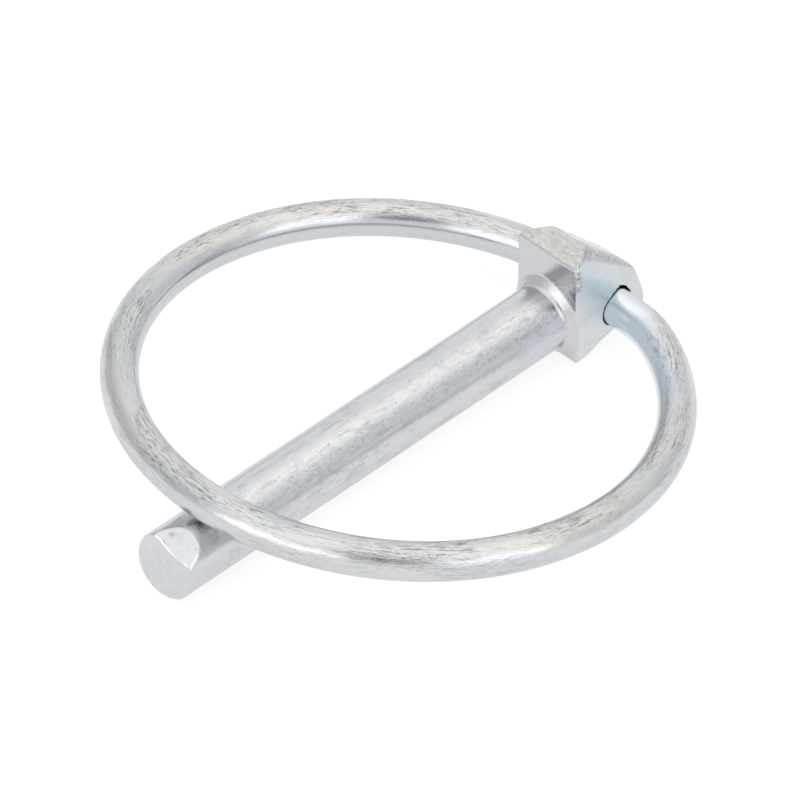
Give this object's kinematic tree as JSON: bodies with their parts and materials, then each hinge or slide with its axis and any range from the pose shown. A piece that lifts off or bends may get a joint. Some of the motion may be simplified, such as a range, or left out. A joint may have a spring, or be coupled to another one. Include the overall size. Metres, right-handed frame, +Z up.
{
  "type": "lynch pin",
  "caption": "Zinc-plated lynch pin: a round shank with a forged, faceted head, and a hinged spring-wire ring that snaps over the shank to keep the pin in its hole.",
  "frame": {"origin": "middle of the part's footprint on the ground, with the pin lying on its foot and its tip and the ring folded over the shank", "axes": "+X along the shank towards the head, +Y across the head along the ring's bore, +Z up"},
  "size_m": [0.0897, 0.0831, 0.0179],
  "materials": {
    "pin": "zinc plated over a forged surface, satin",
    "ring": "zinc plated over drawn wire, satin with lengthwise streaks"
  },
  "bodies": {
    "pin": {"pin": "pin"},
    "ring": {"ring": "ring"}
  },
  "joints": [
    {"name": "ring_flip", "type": "hinge", "parent": "pin", "child": "ring", "pos_m": [0.0379, -0.00097, 0.00626], "axis": [0.0262, 0.9997, 0.0005], "range_deg": [0, 346]}
  ]
}
